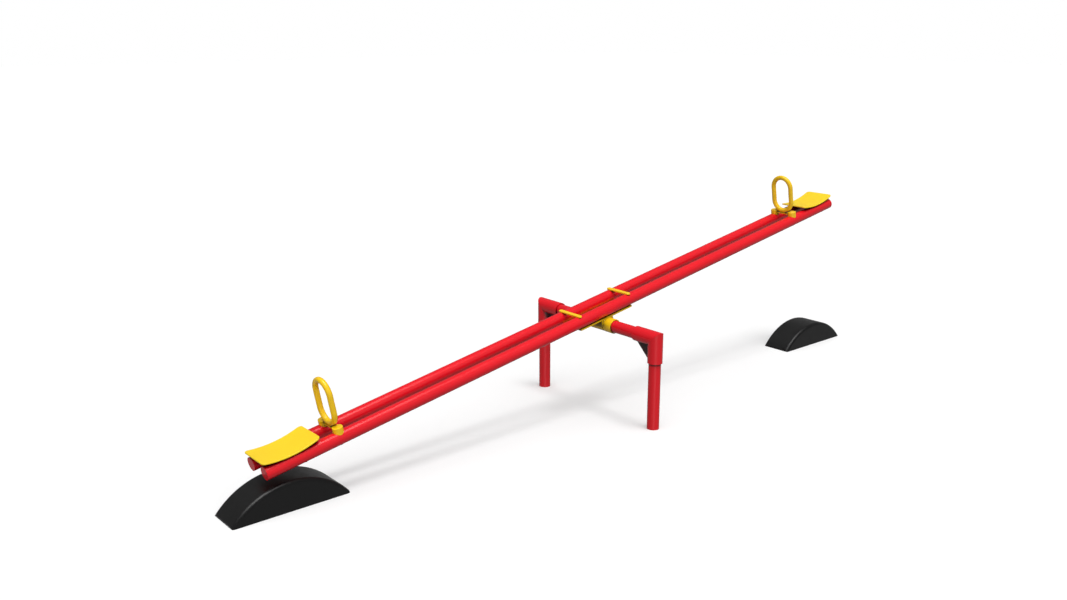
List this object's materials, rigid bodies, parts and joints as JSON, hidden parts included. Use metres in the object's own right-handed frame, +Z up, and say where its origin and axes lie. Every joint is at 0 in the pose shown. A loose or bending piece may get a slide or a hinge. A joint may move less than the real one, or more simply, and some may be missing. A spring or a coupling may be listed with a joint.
{
  "type": "playground seesaw",
  "caption": "Playground seesaw: a parallel-tube beam rocks on a low pivot frame and carries curved seats and upright ring handles over curved rubber ground bumpers.",
  "frame": {"origin": "on the ground, straight below the middle of the pivot tube", "axes": "+X along the beam towards the end that is raised in the resting pose, +Y along the pivot tube to the left, +Z up"},
  "size_m": [5.1134, 1.1132, 1.3363],
  "materials": {
    "red_paint": "gloss powder coat on steel tube",
    "yellow_paint": "gloss powder coat on steel",
    "graphite_paint": "satin dark powder coat on steel",
    "yellow_plastic": "satin moulded plastic, ultraviolet stable",
    "red_plastic": "moulded plastic",
    "bush_plastic": "plain bearing polymer",
    "rubber": "satin moulded rubber",
    "zinc_steel": "bright zinc plate",
    "brass": "turned brass"
  },
  "bodies": {
    "stand": {"left_leg": "red_paint", "right_leg": "red_paint", "pivot_tube": "red_paint", "left_elbow": "red_paint", "right_elbow": "red_paint", "left_gusset": "graphite_paint", "right_gusset": "graphite_paint", "elbow_set_screws": "zinc_steel", "centring_sleeve": "yellow_paint", "bumper_a": "rubber", "bumper_b": "rubber"},
    "beam": {"left_beam_tube": "red_paint", "right_beam_tube": "red_paint", "tube_end_plates": "red_paint", "saddle_plate": "yellow_paint", "saddle_rim_a": "yellow_paint", "saddle_rim_b": "yellow_paint", "saddle_foot_a": "yellow_paint", "saddle_foot_b": "yellow_paint", "left_saddle_web": "yellow_paint", "right_saddle_web": "yellow_paint", "left_bearing_collar": "yellow_paint", "right_bearing_collar": "yellow_paint", "clamp_bar_a": "yellow_paint", "clamp_bar_b": "yellow_paint", "handle_ring_a": "yellow_paint", "handle_ring_b": "yellow_paint", "handle_base_a": "yellow_paint", "handle_base_b": "yellow_paint", "seat_a": "yellow_plastic", "seat_b": "yellow_plastic", "handle_access_plugs": "red_plastic", "seat_access_plugs": "red_plastic", "left_pivot_bush": "bush_plastic", "right_pivot_bush": "bush_plastic", "clamp_bolts": "zinc_steel", "clamp_washers": "zinc_steel", "handle_screws": "zinc_steel", "seat_screws": "zinc_steel", "seat_inserts": "brass"}
  },
  "joints": [
    {"name": "beam_pivot", "type": "hinge", "parent": "stand", "child": "beam", "pos_m": [0, 0, 0.574], "axis": [0, 1, 0], "range_deg": [-1.1, 21.82]}
  ]
}
